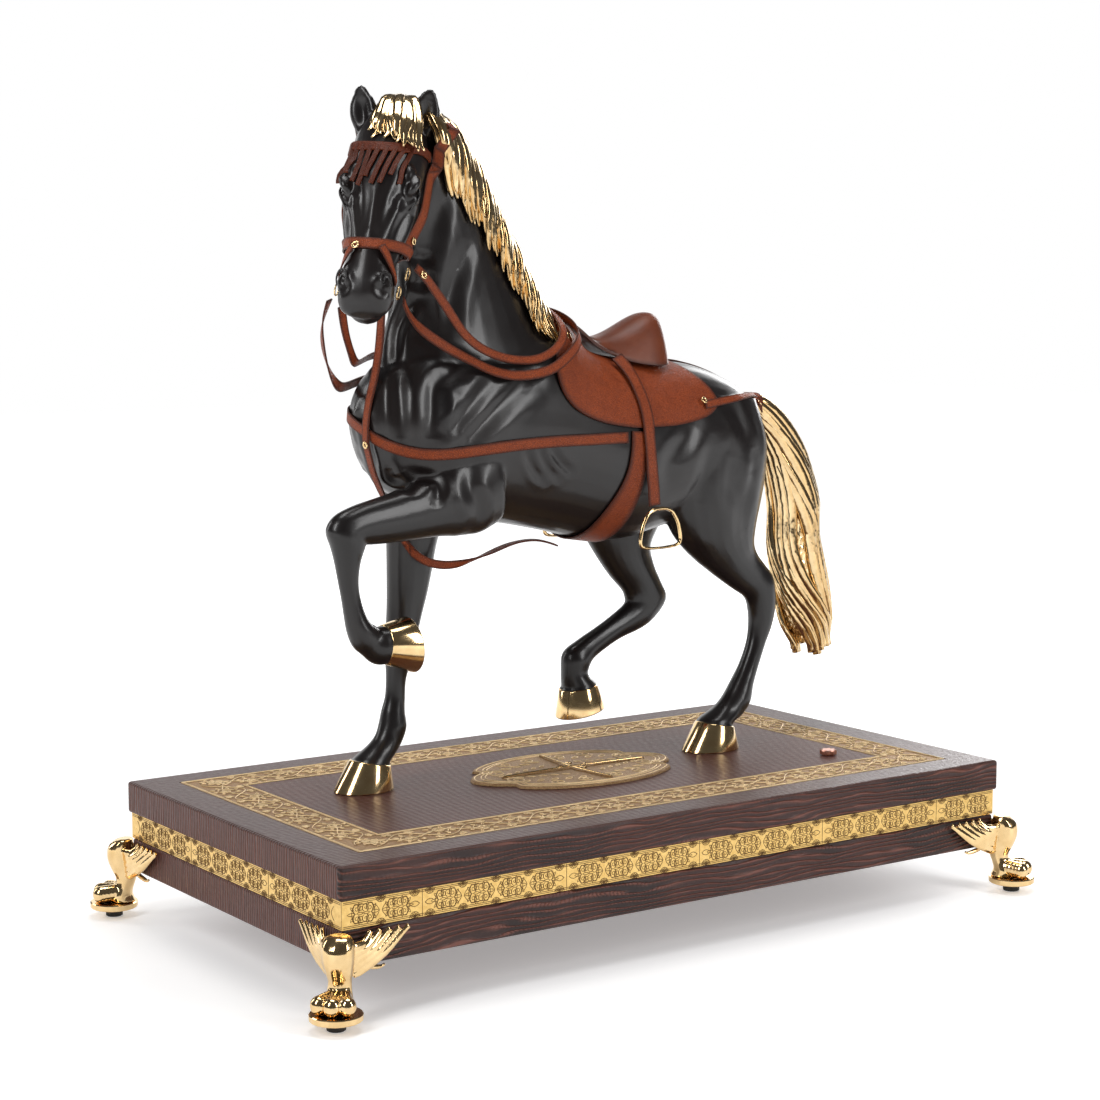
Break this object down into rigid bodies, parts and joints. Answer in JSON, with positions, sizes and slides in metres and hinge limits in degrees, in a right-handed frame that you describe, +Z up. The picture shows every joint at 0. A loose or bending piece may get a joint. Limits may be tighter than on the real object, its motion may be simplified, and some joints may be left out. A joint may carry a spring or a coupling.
{
  "type": "horse statue",
  "caption": "Trotting black horse with gilt mane, tail and hooves, in leather saddle and bridle, on a leather-covered plinth with gilt bands and clawed corner feet",
  "frame": {"origin": "centre of the bounding box on the floor, under the rubber pads", "axes": "+Z up, X along the plinth with the horse facing -X, -Y is the side that carries the near (left) flank"},
  "size_m": [0.599, 0.345, 0.5685],
  "materials": {
    "horse_black": "satin black porcelain; mane, tail, forelock and hooves are gilded",
    "gilt_metal": "polished gilt",
    "copper": "satin copper",
    "tan_leather": "grained red-brown strap leather",
    "seat_leather": "smooth polished brown leather",
    "plinth_leather": "lizard-embossed dark red-brown leather",
    "rubber": "plain black rubber"
  },
  "bodies": {
    "root": {"band_far": "gilt_metal", "band_front": "gilt_metal", "band_near": "gilt_metal", "band_rear": "gilt_metal", "bit_ring_far": "gilt_metal", "bit_ring_near_lower": "gilt_metal", "bit_ring_near_upper": "gilt_metal", "border_far": "gilt_metal", "border_front": "gilt_metal", "border_near": "gilt_metal", "border_rear": "gilt_metal", "breast_collar": "tan_leather", "browband": "tan_leather", "crupper_dock": "tan_leather", "crupper_far": "tan_leather", "crupper_near": "tan_leather", "crupper_top": "tan_leather", "disc_far_front": "gilt_metal", "disc_far_rear": "gilt_metal", "disc_near_front": "gilt_metal", "disc_near_rear": "gilt_metal", "drop_strap_far": "tan_leather", "drop_strap_near": "tan_leather", "eyelet_cheek": "gilt_metal", "eyelet_collar": "gilt_metal", "eyelet_dock": "gilt_metal", "eyelet_flap": "gilt_metal", "eyelet_noseband": "gilt_metal", "eyelet_rein": "gilt_metal", "foot_far_front": "gilt_metal", "foot_far_rear": "gilt_metal", "foot_near_front": "gilt_metal", "foot_near_rear": "gilt_metal", "girth": "tan_leather", "headstall": "tan_leather", "horse": "horse_black", "martingale": "tan_leather", "medallion": "gilt_metal", "noseband": "tan_leather", "pad_far_front": "rubber", "pad_far_rear": "rubber", "pad_near_front": "rubber", "pad_near_rear": "rubber", "plinth_base": "plinth_leather", "plinth_core": "plinth_leather", "plinth_top": "plinth_leather", "rein_lower": "tan_leather", "rein_upper": "tan_leather", "rosette_stud": "copper", "saddle_flaps": "tan_leather", "saddle_seat": "seat_leather", "stirrup_iron_far": "gilt_metal", "stirrup_iron_near": "gilt_metal", "stirrup_leather_far": "tan_leather", "stirrup_leather_near": "tan_leather"}
  },
  "joints": []
}
